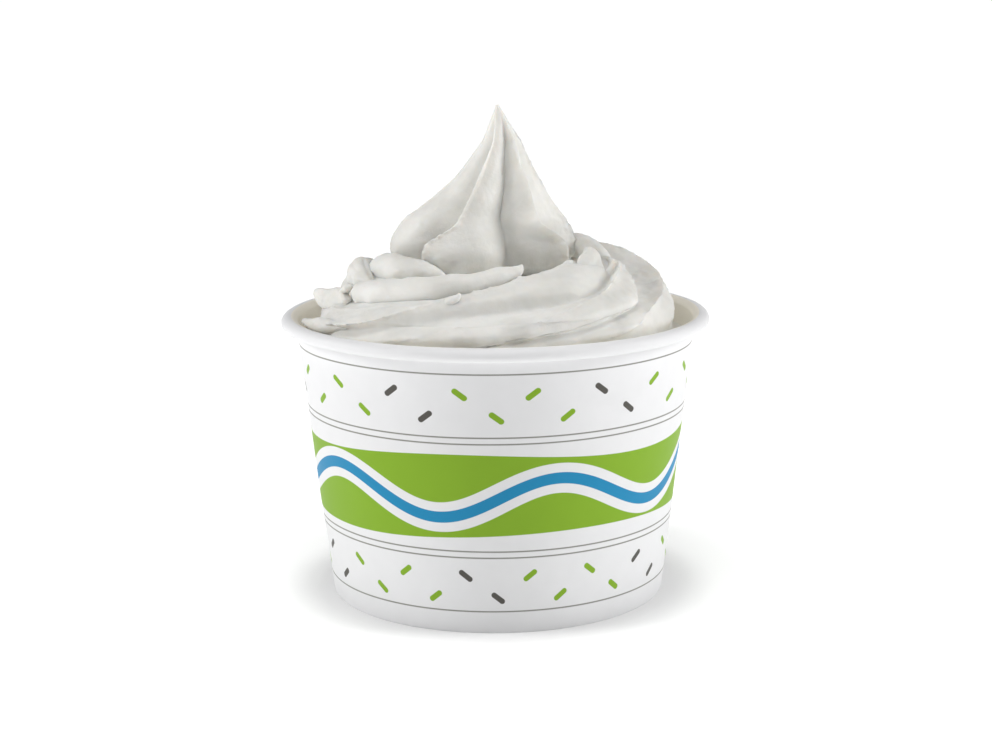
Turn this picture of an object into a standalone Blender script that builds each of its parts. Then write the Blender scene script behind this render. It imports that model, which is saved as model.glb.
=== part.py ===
"""A small paper cup of frozen yogurt: the rolled-rim cup, its base, and one soft-serve swirl.

Metres, +Z up.  The origin is the middle of the foot on the resting plane.  The front is -Y, and an
azimuth is measured from the front towards +X.
"""

import math
from typing import NamedTuple

import bpy
import numpy as np

# --- Cup -------------------------------------------------------------------------------------------
RIM_RADIUS = 0.0480          # outer edge of the rolled rim: a 96 mm cup
RIM_HEIGHT = 0.0030          # height of the rolled bead
RIM_CENTRE_Z = 0.0618        # middle of the bead above the table
WALL_TOP_RADIUS = 0.0447     # outer face of the wall at the bead's middle
FOOT_RADIUS = 0.0377         # outer face of the wall at the table
PAPER = 0.0005               # one ply of coated board
GAP = 0.0003                 # clearance between pieces that touch
BASE_TOP = 0.0068            # upper face of the raised base
HEM_HEIGHT = 0.0060          # height of the ply folded up inside the foot
FOOT_CHAMFER = 0.0002        # bevel on the two edges that the cup stands on
TUCK_Z = 0.0600              # height at which the wall runs in under the bead
BEAD_END = -120              # where the bead's roll ends, in degrees from outwards
BEAD_POINTS = 10             # points round the outside of the bead
LIP_POINTS = 5               # points round its inner side
CUP_STEPS = 60               # segments round the cup

WALL_SLOPE = (WALL_TOP_RADIUS - FOOT_RADIUS) / RIM_CENTRE_Z

# --- Swirl: the mound of ribbed rope ----------------------------------------------------------------
MM = 0.001                   # the swirl's tables are in millimetres
RIB_SPACING = 4              # the least distance between two ribs, in degrees
DISH_RADIUS = 0.0130         # edge of the dished middle that the peak sits in
DISH_Z = 0.0720              # height of the dished middle
DISH_TWIST = 8               # how far the ribs turn on inside the dish, in degrees
FILL_TOP = 0.0578            # height up to which the yogurt presses against the wall
MOUND_ROWS = 12              # rows of faces from the wall to the mound's crest
VALLEY_STEPS = 6             # columns of faces between two ribs
RIB_SAMPLES = 200            # points at which a rib's path is worked out
RIB_START = 0.14             # climb over which the ribs grow out of the wall
LOW_CLIMB = 0.2              # up to this climb a rib has its low values,
HIGH_CLIMB = 0.6             # and from this one its high values

# --- Swirl: the peak ---------------------------------------------------------------------------------
PEAK_TOP = 0.1090            # tip of the swirl
PEAK_FLOOR = 0.0700          # underside of the peak, sunk in the dish
PEAK_STEPS = 8               # columns of faces between two ridges
PEAK_ROWS = 18               # rows of faces from the underside to the tip
SKIRT_Z = 0.0815             # the front ridges spread apart below this height
SKIRT_ABOVE = 0.0035         # how far above it they start to spread, and where the neck is
SKIRT_BELOW = 0.0015         # how far below it they have spread
TIP_LENGTH = 0.0080          # the valleys run out over this length below the tip
TIP_CAP = 0.0002             # height of the point that closes the tip

# --- Swirl: the loose folds --------------------------------------------------------------------------
FOLD_SIDES = 12              # columns of faces round a fold
FOLD_ROWS = 10               # rows of faces along it
FOLD_TRIM = 0.2              # angle left off each end of a fold's half turn of rows, in radians


class Section(NamedTuple):
    """The mound's half section at one azimuth (lengths in mm)."""

    outer: float         # radius where it leans away from the wall
    floor: float         # height there
    ring: float          # radius where it is highest
    top: float           # height there
    slack: float         # how far the slope sags inwards, as a share; below 0 it bulges


# One section every 45 degrees, from the back.
SECTIONS = (
    Section(42.0, 60.0, 21.5, 76.0, 0.00),
    Section(41.0, 60.0, 21.5, 73.5, 0.00),
    Section(38.8, 60.8, 22.0, 72.6, 0.00),
    Section(43.2, 62.0, 22.5, 73.4, 0.30),
    Section(44.0, 62.8, 24.0, 74.0, 0.50),
    Section(43.6, 62.4, 26.5, 75.0, 0.15),
    Section(38.6, 60.2, 24.5, 74.8, -0.35),
    Section(40.4, 60.0, 21.0, 76.2, -0.10),
)


class Rib(NamedTuple):
    """One rib of the coiled rope, and the valley on its lower side (lengths in mm)."""

    path: tuple          # azimuth in degrees, and climb from the wall (0) to the crest (1)
    crest: float         # height of the rib above the mound's mean surface
    valley_low: float    # depth of the valley near the wall; below 0 the band bulges
    valley_high: float   # depth of the valley near the crest
    skew_low: float      # where the valley is deepest near the wall, from this rib (0) to the next (1)
    skew_high: float     # and near the crest


RIBS = (
    Rib(((-118, 0), (-98, 0.13), (-72, 0.27), (-45, 0.38), (-31, 0.44), (-22, 0.50), (-8, 0.64),
         (9, 0.82), (26, 1)), 0.5, 0.6, 0.3, 0.50, 0.50),
    Rib(((-86, 0), (-59, 0.125), (-41, 0.21), (-28, 0.36), (-13, 0.53), (2, 0.69), (14.5, 0.82),
         (34, 1)), 1.7, 2.2, 2.8, 0.35, 0.86),
    Rib(((-36, 0), (-24.5, 0.08), (-11, 0.205), (1.5, 0.235), (12, 0.25), (29.5, 0.43), (44, 0.62),
         (56, 0.78), (74, 1)), 1.5, -0.4, 0.2, 0.50, 0.50),
    Rib(((-6, 0), (8, 0.10), (22.5, 0.175), (38, 0.29), (46.5, 0.36), (50, 0.48), (56, 0.68),
         (66, 0.84), (82, 1)), 1.0, 1.2, 4.8, 0.30, 0.25),
    Rib(((29, 0), (42, 0.14), (47, 0.23), (56.5, 0.33), (64, 0.39), (74, 0.48), (88, 0.57),
         (106, 0.74), (134, 1)), 1.6, 1.0, 2.0, 0.40, 0.45),
    Rib(((56, 0), (66, 0.12), (80, 0.30), (98, 0.50), (120, 0.75), (158, 1)), 1.0, 1.6, 2.4, 0.60, 0.60),
    Rib(((96, 0), (118, 0.30), (150, 0.65), (192, 1)), 1.2, 2.0, 2.6, 0.60, 0.60),
    Rib(((138, 0), (160, 0.30), (192, 0.65), (230, 1)), 1.0, 1.8, 2.4, 0.55, 0.55),
    Rib(((176, 0), (200, 0.30), (232, 0.65), (270, 1)), 1.2, 2.0, 2.4, 0.55, 0.55),
    Rib(((210, 0), (236, 0.30), (270, 0.65), (314, 1)), 1.2, 1.8, 1.6, 0.50, 0.50),
)


class Ridge(NamedTuple):
    """One ridge of the star-shaped peak, and the valley on its right."""

    azimuth: float       # in degrees, on the upper part of the peak
    spread: float        # how far it has turned at the skirt, in degrees
    reach: float         # its radius as a share of the outline's
    neck: float          # how much narrower it is just above the skirt, as a share
    valley: float        # the valley's radius as a share of the outline's
    skew: float          # where the valley is deepest, from this ridge (0) to the next one (1)
    crease: float        # 0 for a round valley, 1 for a sharp V


RIDGES = (
    Ridge(-27, -13, 1.00, 0.12, 0.48, 0.68, 0.85),
    Ridge(43, 15, 1.00, 0.06, 0.62, 0.50, 0.20),
    Ridge(98, 0, 0.97, 0.00, 0.58, 0.50, 0.40),
    Ridge(155, 0, 1.00, 0.00, 0.56, 0.50, 0.40),
    Ridge(208, 0, 1.00, 0.00, 0.56, 0.50, 0.40),
    Ridge(268, 0, 1.00, -0.07, 0.50, 0.74, 0.30),
)

# The peak's outline down a ridge: radius and height of the points it passes through.
PEAK_OUTLINE = (
    (0.0120, 0.0700),
    (0.0165, 0.0727),
    (0.0196, 0.0746),
    (0.0210, 0.0772),
    (0.0203, 0.0802),
    (0.0178, 0.0836),
    (0.0134, 0.0880),
    (0.0081, 0.0946),
    (0.0042, 0.1013),
    (0.0020, 0.1057),
    (0.0004, 0.1090),
)

# The peak's own axis leans: its offset along X at these heights.
PEAK_LEAN = (
    (-0.0021, 0.0700),
    (-0.0021, 0.0800),
    (-0.0010, 0.0857),
    (0.0006, 0.0924),
    (0.0018, 0.1013),
    (0.0009, 0.1090),
)


class Fold(NamedTuple):
    """A torn or doubled fold of yogurt: a flattened tube along a short path."""

    name: str
    path: tuple          # azimuth in degrees; radius, height, half width and half depth in mm
    lean: float          # which way its face looks: 0 outwards, 90 upwards, in degrees
    start: float         # shares of the length over which the two ends round off
    end: float


FOLDS = (
    Fold("upper_turn", ((-62, 34.2, 70.0, 3.0, 2.2), (-45, 33.4, 71.3, 3.1, 2.2), (-28, 32.6, 72.5, 3.0, 2.1),
                        (-12, 31.4, 73.8, 2.6, 2.0), (0, 29.4, 75.0, 2.2, 1.8), (7, 28.3, 75.8, 1.7, 1.4),
                        (10, 27.8, 76.5, 1.2, 1.1), (12.5, 27.2, 77.5, 0.3, 0.4)), 42, 0.05, 0.05),
    Fold("rolled_lip", ((-60, 36.2, 72.0, 0.7, 1.0), (-63, 36.6, 70.2, 0.8, 1.2),
                        (-60, 36.6, 68.2, 0.8, 1.0)), 10, 0.12, 0.12),
    Fold("back_lobe", ((-118, 26.5, 69.0, 2.6, 2.8), (-98, 28.8, 71.2, 3.5, 3.2), (-82, 30.0, 72.4, 3.8, 3.4),
                       (-62, 30.4, 71.8, 3.2, 2.8)), 35, 0.30, 0.55),
    Fold("long_lobe", ((-92, 25.0, 72.0, 2.4, 2.6), (-74, 25.6, 74.0, 3.5, 3.0), (-58, 24.8, 74.5, 3.6, 2.8),
                       (-44, 23.6, 74.2, 3.0, 2.6), (-28, 22.0, 73.6, 1.6, 1.8)), 45, 0.25, 0.10),
    Fold("torn_flap", ((-62, 34.6, 67.4, 2.6, 1.6), (-72, 36.2, 67.9, 2.9, 1.5), (-81, 38.0, 67.4, 2.4, 1.3),
                       (-89, 40.6, 68.3, 0.6, 0.7)), 25, 0.10, 0.08),
    Fold("long_rib_end", ((-81, 43.0, 62.3, 0.3, 0.4), (-74, 42.4, 62.7, 1.1, 1.0), (-65, 41.8, 63.3, 1.7, 1.5),
                          (-54, 41.0, 64.3, 1.5, 1.3), (-44, 40.0, 65.4, 0.5, 0.6)), 40, 0.05, 0.10),
    Fold("small_column", ((38, 26.0, 71.0, 2.2, 2.0), (40, 25.4, 73.6, 2.2, 1.9),
                          (43, 24.0, 75.8, 1.2, 1.2)), 20, 0.10, 0.20),
    Fold("tall_column", ((47, 27.0, 70.5, 4.4, 2.6), (50, 26.8, 74.2, 4.1, 2.5), (53.5, 25.6, 77.2, 2.8, 2.0),
                         (54, 24.8, 79.7, 0.6, 0.8)), 12, 0.10, 0.05),
    Fold("back_hump", ((68, 26.6, 72.6, 1.0, 1.4), (80, 24.0, 74.8, 2.0, 2.2), (98, 20.8, 76.8, 2.4, 2.6),
                       (120, 20.4, 76.4, 2.6, 2.8), (145, 21.0, 74.6, 1.6, 2.0)), 55, 0.08, 0.20),
)


def clear_scene():
    """Remove what the scene holds."""
    for item in list(bpy.data.objects):
        bpy.data.objects.remove(item, do_unlink=True)


def make_collection(name):
    """Make a collection under the scene's own."""
    collection = bpy.data.collections.new(name)
    bpy.context.scene.collection.children.link(collection)
    return collection


def make_material(name, colour, roughness):
    """Make a plain dielectric material from a linear colour."""
    material = bpy.data.materials.new(name)
    material.use_nodes = True
    shader = material.node_tree.nodes["Principled BSDF"]
    shader.inputs["Base Color"].default_value = (*colour, 1.0)
    shader.inputs["Roughness"].default_value = roughness
    shader.inputs["Metallic"].default_value = 0.0
    return material


def mesh_object(name, vertices, faces, collection, material=None):
    """Make an object from vertices and faces, shaded smooth."""
    mesh = bpy.data.meshes.new(name)
    mesh.from_pydata([tuple(map(float, v)) for v in vertices], [], faces)
    mesh.validate()
    mesh.shade_smooth()
    item = bpy.data.objects.new(name, mesh)
    if material:
        mesh.materials.append(material)
    collection.objects.link(item)
    return item


def turned_object(name, profile, collection, material, steps, closed):
    """Turn a profile of (radius, height) points about Z with a Screw modifier."""
    count = len(profile)
    edges = [(i, i + 1) for i in range(count - 1)]
    if closed:
        edges.append((count - 1, 0))
    mesh = bpy.data.meshes.new(name)
    mesh.from_pydata([(radius, 0.0, height) for radius, height in profile], edges, [])
    item = bpy.data.objects.new(name, mesh)
    mesh.materials.append(material)
    collection.objects.link(item)
    screw = item.modifiers.new("turn", "SCREW")
    screw.axis = "Z"
    screw.angle = math.tau
    screw.steps = steps
    screw.render_steps = steps
    screw.use_merge_vertices = True
    screw.merge_threshold = 0.00001
    screw.use_smooth_shade = True
    return item


def wall_outer(z):
    """Radius of the wall's outer face at a height."""
    return FOOT_RADIUS + WALL_SLOPE * z


def wall_inner(z):
    """Radius of the wall's inner face at a height."""
    return wall_outer(z) - PAPER


def smoothstep(low, high, value):
    """0 below low, 1 above high, and a smooth ramp between them."""
    share = np.clip((value - low) / (high - low), 0.0, 1.0)
    return share * share * (3.0 - 2.0 * share)


# --- Cup -------------------------------------------------------------------------------------------

def rim_arc(first, last, count):
    """Points of the bead's ellipse from one angle to another, in degrees from outwards."""
    inner = wall_inner(RIM_CENTRE_Z)
    half_width = (RIM_RADIUS - inner) / 2
    centre = inner + half_width
    angles = [math.radians(first + (last - first) * i / (count - 1)) for i in range(count)]
    return [(centre + half_width * math.cos(a), RIM_CENTRE_Z + RIM_HEIGHT / 2 * math.sin(a)) for a in angles]


def build_cup_wall(collection, material):
    """The side wall: one ply that rolls outwards at the rim and folds up inside the foot."""
    channel = PAPER + 2 * GAP
    hem_outer = PAPER + channel
    hem_inner = hem_outer + PAPER
    profile = rim_arc(90, BEAD_END, BEAD_POINTS)
    profile += [
        (wall_outer(TUCK_Z), TUCK_Z),
        (wall_outer(PAPER), PAPER),
        (FOOT_RADIUS - FOOT_CHAMFER, 0.0),
        (FOOT_RADIUS - hem_inner + FOOT_CHAMFER, 0.0),
        (wall_outer(PAPER) - hem_inner, PAPER),
        (wall_outer(HEM_HEIGHT) - hem_inner, HEM_HEIGHT),
        (wall_outer(HEM_HEIGHT) - hem_outer, HEM_HEIGHT),
        (wall_outer(PAPER) - hem_outer, PAPER),
        (wall_inner(PAPER), PAPER),
    ]
    profile += rim_arc(180, 90, LIP_POINTS)[:-1]
    return turned_object("cup_wall", profile, collection, material, CUP_STEPS, closed=True)


def build_cup_base(collection, material):
    """The base: a disc whose skirt is held in the foot's fold."""
    skirt_foot = PAPER + GAP
    underside = BASE_TOP - PAPER
    profile = [
        (0.0, BASE_TOP),
        (wall_inner(BASE_TOP) - GAP, BASE_TOP),
        (wall_inner(skirt_foot) - GAP, skirt_foot),
        (wall_inner(skirt_foot) - GAP - PAPER, skirt_foot),
        (wall_inner(underside) - GAP - PAPER, underside),
        (0.0, underside),
    ]
    return turned_object("cup_base", profile, collection, material, CUP_STEPS, closed=False)


# --- Swirl -----------------------------------------------------------------------------------------

def grid_solid(rows, bottom, top):
    """Close a stack of rings: rows is (ring, column, xyz), capped by a bottom and a top point."""
    ring_count, columns = rows.shape[:2]
    vertices = list(rows.reshape(-1, 3))
    vertices += [bottom, top]
    low, high = len(vertices) - 2, len(vertices) - 1
    faces = []
    for ring in range(ring_count - 1):
        for column in range(columns):
            right = (column + 1) % columns
            a, b = ring * columns + column, ring * columns + right
            faces.append((a, b, b + columns, a + columns))
    last = (ring_count - 1) * columns
    for column in range(columns):
        right = (column + 1) % columns
        faces.append((right, column, low))
        faces.append((last + column, last + right, high))
    return vertices, faces


def place(azimuth, radius, height):
    """Points at azimuths (degrees from the front), distances from the axis and heights."""
    turn = np.radians(azimuth)
    return np.stack([radius * np.sin(turn), -radius * np.cos(turn), height + 0 * turn], axis=-1)


def smooth_line(points, where):
    """Points along a Catmull-Rom curve; where counts from 0 at the first point by 1 a point."""
    points = np.array(points, dtype=float)
    padded = np.vstack([2 * points[0] - points[1], points, 2 * points[-1] - points[-2]])
    where = np.asarray(where)
    first = np.clip(where.astype(int), 0, len(points) - 2)
    t = (where - first)[:, None]
    a, b, c, d = (padded[first + k] for k in range(4))
    return 0.5 * (2 * b + (c - a) * t + (2 * a - 5 * b + 4 * c - d) * t ** 2 + (3 * (b - c) + d - a) * t ** 3)


def mound_section(azimuth):
    """The mound's outer radius, floor, crest radius, top and slack at each azimuth (metres)."""
    rows = np.array(SECTIONS * 3) * (MM, MM, MM, MM, 1)
    step = 360 / len(SECTIONS)
    where = (azimuth.ravel() + 180) % 360 / step + len(SECTIONS)
    return [column.reshape(azimuth.shape) for column in smooth_line(rows, where).T]


def rib_turns(climb):
    """Azimuth of each rib at each climb, with the first rib once more at the end."""
    turns = []
    for rib in RIBS:
        line = smooth_line(rib.path, np.linspace(0, len(rib.path) - 1, RIB_SAMPLES))
        turns.append(np.interp(climb, line[:, 1], line[:, 0]))
    for number in range(1, len(turns)):
        turns[number] = np.maximum(turns[number], turns[number - 1] + RIB_SPACING)
    return np.stack(turns + [turns[0] + 360], axis=-1)


def mound_surface(climb):
    """The mound's ribbed face.

    climb runs from 0 at the wall to 1 at the crest.  A point's column keeps its share of the way
    between two ribs, so the columns climb round the mound as the ribs do.  The mean surface is a
    quarter ellipse that sags or bulges, and a point stands off it along the ellipse's normal by
    the rib's crest less the valley's depth, which follows half a sine wave that is pushed towards
    one rib.
    """
    traits = np.array([rib[1:] for rib in RIBS + RIBS[:1]])
    share = np.tile(np.arange(VALLEY_STEPS) / VALLEY_STEPS, len(RIBS))
    index = np.repeat(np.arange(len(RIBS)), VALLEY_STEPS)
    turns = rib_turns(climb)
    azimuth = turns[:, index] * (1 - share) + turns[:, index + 1] * share
    climb = climb[:, None]
    crest, low, high, skew_low, skew_high = traits.T
    crest = crest[index] * (1 - share) + crest[index + 1] * share

    outer, floor, ring, top, slack = mound_section(azimuth)
    slope = climb * math.pi / 2
    reach = np.cos(slope) - slack * climb * (1 - climb)
    upper = smoothstep(LOW_CLIMB, HIGH_CLIMB, climb)
    skew = skew_low[index] + (skew_high - skew_low)[index] * upper
    wave = np.sin(math.pi * share ** (math.log(0.5) / np.log(skew)))
    depth = low[index] + (high - low)[index] * upper
    stand = (crest - depth * wave) * MM * smoothstep(0.0, RIB_START, climb)
    radius = ring + (outer - ring) * reach + stand * np.cos(slope)
    height = floor + (top - floor) * np.sin(slope) + stand * np.sin(slope)
    inside_cup = height < RIM_CENTRE_Z + RIM_HEIGHT
    radius = np.where(inside_cup, np.minimum(radius, wall_inner(height) - 2 * GAP), radius)
    return azimuth, radius, height


def build_mound(collection, material):
    """The body of yogurt: it fills the cup and rises into the ribbed mound."""
    azimuth, radius, height = mound_surface(np.linspace(0.0, 1.0, MOUND_ROWS + 1))
    start = azimuth[0]
    bottom = BASE_TOP + GAP
    rings = [
        place(start, wall_inner(bottom) - GAP, bottom),
        place(start, wall_inner(FILL_TOP) - GAP, FILL_TOP),
    ]
    rings += list(place(azimuth, radius, height))
    for share in (0.5, 1.0):
        sunk = smoothstep(0.0, 1.0, share)
        inner = radius[-1] + (DISH_RADIUS - radius[-1]) * share
        rings.append(place(azimuth[-1] + DISH_TWIST * share, inner, height[-1] + (DISH_Z - height[-1]) * sunk))
    vertices, faces = grid_solid(np.array(rings), (0, 0, bottom), (0, 0, DISH_Z))
    return mesh_object("frozen_yogurt", vertices, faces, collection, material)


def peak_surface(outline):
    """The peak's star-shaped face.

    outline is (radius, height) down a ridge.  Between two ridges the radius falls to the valley's
    share of it along a V, half a sine wave, or a mix of both.
    """
    radius, height = np.asarray(outline).T[:, :, None]
    lean, lean_heights = np.array(PEAK_LEAN).T
    ridges = np.array(RIDGES + (RIDGES[0]._replace(azimuth=RIDGES[0].azimuth + 360),))
    share = np.tile(np.arange(PEAK_STEPS) / PEAK_STEPS, len(RIDGES))
    index = np.repeat(np.arange(len(RIDGES)), PEAK_STEPS)
    turn, spread, reach, neck = (ridges[index, k] * (1 - share) + ridges[index + 1, k] * share for k in range(4))
    valley, skew, crease = (ridges[index, k] for k in (4, 5, 6))

    skirt = smoothstep(SKIRT_Z + SKIRT_ABOVE, SKIRT_Z - SKIRT_BELOW, height)
    azimuth = turn + spread * skirt
    vee = np.minimum(share / skew, (1 - share) / (1 - skew))
    wave = np.sin(math.pi * share ** (math.log(0.5) / np.log(skew)))
    fold = crease * vee + (1 - crease) * wave
    depth = (1 - valley) * smoothstep(PEAK_TOP, PEAK_TOP - TIP_LENGTH, height)
    waist = neck * np.exp(-((height - SKIRT_Z - SKIRT_ABOVE) / SKIRT_ABOVE) ** 2)
    return azimuth, radius * (reach - waist - depth * fold), np.interp(height, lean_heights, lean)


def build_peak(collection):
    """The peak: a star-shaped column drawn up to a tip, with a skirt that curls under."""
    outline = smooth_line(PEAK_OUTLINE, np.linspace(0, len(PEAK_OUTLINE) - 1, PEAK_ROWS + 1))
    azimuth, radius, lean = peak_surface(outline)
    rings = place(azimuth, radius, outline[:, 1:])
    rings[..., 0] += lean
    tip = (PEAK_LEAN[-1][0], 0, PEAK_TOP + TIP_CAP)
    vertices, faces = grid_solid(rings, (PEAK_LEAN[0][0], 0, PEAK_FLOOR), tip)
    return mesh_object("swirl_peak", vertices, faces, collection)


def fold_rings(fold):
    """A fold's surface: an ellipse carried along the path, smaller towards both ends.

    The ellipse is square to the path, and its short axis leans from outwards to upwards by the
    fold's lean.  Towards each end it shrinks as a quarter circle does.
    """
    share = (1 - np.cos(np.linspace(FOLD_TRIM, math.pi - FOLD_TRIM, FOLD_ROWS))) / 2
    azimuth, radius, height, half_across, half_out = smooth_line(fold.path, share * (len(fold.path) - 1)).T
    middle = place(azimuth, radius * MM, height * MM)
    along = np.gradient(middle, axis=0)
    lean = math.radians(fold.lean)
    facing = place(azimuth, math.cos(lean), math.sin(lean))
    across = np.cross(facing, along)
    across /= np.linalg.norm(across, axis=-1, keepdims=True)
    out = np.cross(along, across)
    out /= np.linalg.norm(out, axis=-1, keepdims=True)
    opening = 1 - np.clip(share / fold.start, 0, 1)
    closing = 1 - np.clip((1 - share) / fold.end, 0, 1)
    size = np.sqrt((1 - opening ** 2) * (1 - closing ** 2))[:, None] * MM
    angle = np.arange(FOLD_SIDES) * math.tau / FOLD_SIDES
    span = (size * half_across[:, None] * np.cos(angle))[..., None] * across[:, None]
    depth = (size * half_out[:, None] * np.sin(angle))[..., None] * out[:, None]
    return middle[:, None] + span - depth


def build_fold(fold, collection):
    """One loose fold, closed at both ends."""
    rings = fold_rings(fold)
    vertices, faces = grid_solid(rings, rings[0].mean(axis=0), rings[-1].mean(axis=0))
    return mesh_object(fold.name, vertices, faces, collection)


def join_by_union(target, other):
    """Join another closed solid to the target with a Boolean union."""
    union = target.modifiers.new(other.name, "BOOLEAN")
    union.operation = "UNION"
    union.solver = "EXACT"
    union.object = other
    other.hide_render = True
    other.display_type = "WIRE"


def build_yogurt(collection, helpers, material):
    """All the yogurt, as one solid."""
    yogurt = build_mound(collection, material)
    join_by_union(yogurt, build_peak(helpers))
    for fold in FOLDS:
        join_by_union(yogurt, build_fold(fold, helpers))
    return yogurt


def main():
    """Build the cup, its base and its yogurt."""
    clear_scene()
    parts = make_collection("frozen_yogurt_cup")
    helpers = make_collection("helpers")
    paper = make_material("coated_paper_board", (0.80, 0.80, 0.82), 0.45)
    board = make_material("base_board", (0.72, 0.69, 0.62), 0.5)
    yogurt = make_material("frozen_yogurt", (0.82, 0.82, 0.79), 0.4)
    build_cup_wall(parts, paper)
    build_cup_base(parts, board)
    build_yogurt(parts, helpers, yogurt)


main()
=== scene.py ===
"""Frozen yogurt in a printed paper cup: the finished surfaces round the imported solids.

Lengths are metres unless a name says otherwise.  +Z is up, the front is -Y, and an azimuth is
measured in degrees from the front towards +X.
"""
import logging
import math
from dataclasses import dataclass
from enum import Enum
from typing import Any, NamedTuple, Sequence

import bpy
import numpy as np
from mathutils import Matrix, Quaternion, Vector


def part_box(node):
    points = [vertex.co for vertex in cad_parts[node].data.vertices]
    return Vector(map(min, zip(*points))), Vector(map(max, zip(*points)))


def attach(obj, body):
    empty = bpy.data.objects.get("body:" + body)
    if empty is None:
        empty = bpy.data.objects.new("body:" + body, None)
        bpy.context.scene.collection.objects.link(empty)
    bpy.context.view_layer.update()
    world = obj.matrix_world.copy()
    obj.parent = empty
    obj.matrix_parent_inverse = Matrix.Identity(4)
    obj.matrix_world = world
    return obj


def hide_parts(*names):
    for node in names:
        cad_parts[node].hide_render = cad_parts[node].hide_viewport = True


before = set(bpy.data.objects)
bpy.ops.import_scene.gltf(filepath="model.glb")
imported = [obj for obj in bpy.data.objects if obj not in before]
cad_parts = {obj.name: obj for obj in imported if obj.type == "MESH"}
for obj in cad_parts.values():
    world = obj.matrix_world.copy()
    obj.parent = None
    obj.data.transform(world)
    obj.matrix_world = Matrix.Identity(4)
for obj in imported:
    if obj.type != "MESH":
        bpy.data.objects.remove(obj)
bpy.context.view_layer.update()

MM = 0.001
log = logging.getLogger("frozen_yogurt_cup")


# --- Colour and nodes ---------------------------------------------------------------------------------

class Ink(Enum):
    """The flat inks of the cup's print, as sRGB hex values."""

    LEAF_GREEN = "#86B022"
    POOL_BLUE = "#148ABA"
    CHARCOAL = "#56534E"
    LINE_GREY = "#8C8C84"


def linear(code: str) -> tuple[float, float, float, float]:
    """Turn an sRGB hex colour into the linear colour that the shaders take.

    Args:
        code: The colour as #RRGGBB.

    Returns:
        Linear red, green, blue and an alpha of 1.
    """
    channels = [int(code[start:start + 2], 16) / 255 for start in (1, 3, 5)]
    red, green, blue = (c / 12.92 if c <= 0.04045 else ((c + 0.055) / 1.055) ** 2.4 for c in channels)
    return red, green, blue, 1.0


def add_node(
    tree: bpy.types.NodeTree, kind: str, settings: dict[str, Any] | None = None, **inputs: Any
) -> bpy.types.Node:
    """Add a node, set it up and link it.

    Args:
        tree: The node tree that gets the node.
        kind: The node's type, without its ShaderNode prefix.
        settings: Values of the node's own properties.
        inputs: Values or sockets for its inputs; in0 is the first input, and a name in words stands
            for the input of that name, with _ for a space.

    Returns:
        The new node.
    """
    node = tree.nodes.new(f"ShaderNode{kind}")
    for name, value in (settings or {}).items():
        setattr(node, name, value)
    for name, value in inputs.items():
        numbered = name.startswith("in") and name[2:].isdigit()
        socket = node.inputs[int(name[2:])] if numbered else node.inputs[name.replace("_", " ")]
        if isinstance(value, bpy.types.NodeSocket):
            tree.links.new(value, socket)
        else:
            socket.default_value = value
    return node


def new_material(name: str) -> tuple[bpy.types.Material, bpy.types.NodeTree, bpy.types.Node]:
    """Make a material that holds a Principled shader.

    Args:
        name: The material's name.

    Returns:
        The material, its node tree and its shader.
    """
    material = bpy.data.materials.new(name)
    material.use_nodes = True
    return material, material.node_tree, material.node_tree.nodes["Principled BSDF"]


# --- Numbers on grids ---------------------------------------------------------------------------------

def smoothstep(low: float, high: float, value: np.ndarray | float) -> np.ndarray:
    """0 at low, 1 at high, and between them three times the square less twice the cube."""
    share = np.clip((np.asarray(value) - low) / (high - low), 0.0, 1.0)
    return share * share * (3.0 - 2.0 * share)


def smooth_line(points: Sequence[Sequence[float]], where: np.ndarray) -> np.ndarray:
    """Points along a Catmull-Rom curve: each span is the cubic through its two ends whose slopes
    are half the step between their neighbours.

    Args:
        points: The points that the curve passes through, one row each.
        where: Places along it, counted 1 for each point from 0 at the first.

    Returns:
        One row for each place.
    """
    line = np.array(points, dtype=float)
    padded = np.vstack([2 * line[0] - line[1], line, 2 * line[-1] - line[-2]])
    first = np.clip(where.astype(int), 0, len(line) - 2)
    t = (where - first)[:, None]
    a, b, c, d = (padded[first + k] for k in range(4))
    return 0.5 * (2 * b + (c - a) * t + (2 * a - 5 * b + 4 * c - d) * t**2 + (3 * (b - c) + d - a) * t**3)


def at_azimuth(azimuth: np.ndarray, radius: np.ndarray, height: np.ndarray) -> np.ndarray:
    """Points from azimuths, distances from the axis and heights: x is the radius times the sine of
    the azimuth, and y the radius times its cosine, negated.
    """
    turn = np.radians(azimuth)
    flat = np.broadcast_arrays(radius * np.sin(turn), -radius * np.cos(turn), height + 0 * turn)
    return np.stack(flat, axis=-1)


def ripple(points: np.ndarray, wavelength: float, seed: int, waves: int = 36) -> np.ndarray:
    """Smooth uneven noise in space, with a spread of about 1.

    It adds up sine waves that run in random directions, each with a random phase and a length
    within a third of the given one.

    Args:
        points: Where to work it out, with x, y and z last.
        wavelength: The mean length of the waves.
        seed: Seed of the random choice.
        waves: How many waves to add up.

    Returns:
        One number for each point.
    """
    random = np.random.default_rng(seed)
    direction = random.normal(size=(3, waves))
    direction /= np.linalg.norm(direction, axis=0)
    count = 2 * math.pi / (wavelength * random.uniform(0.67, 1.33, waves))
    phase = random.uniform(0, 2 * math.pi, waves)
    return np.sin(points @ (direction * count) + phase).sum(axis=-1) / math.sqrt(waves / 2)


def outward_normals(rings: np.ndarray) -> np.ndarray:
    """Unit normals of a grid of rings that climb: the cross product of the step round the ring and
    the step to the next ring.
    """
    around = np.roll(rings, -1, axis=1) - np.roll(rings, 1, axis=1)
    upward = np.gradient(rings, axis=0)
    normal = np.cross(around, upward)
    return normal / np.maximum(np.linalg.norm(normal, axis=-1, keepdims=True), 1e-12)


# --- Meshes -------------------------------------------------------------------------------------------

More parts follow.
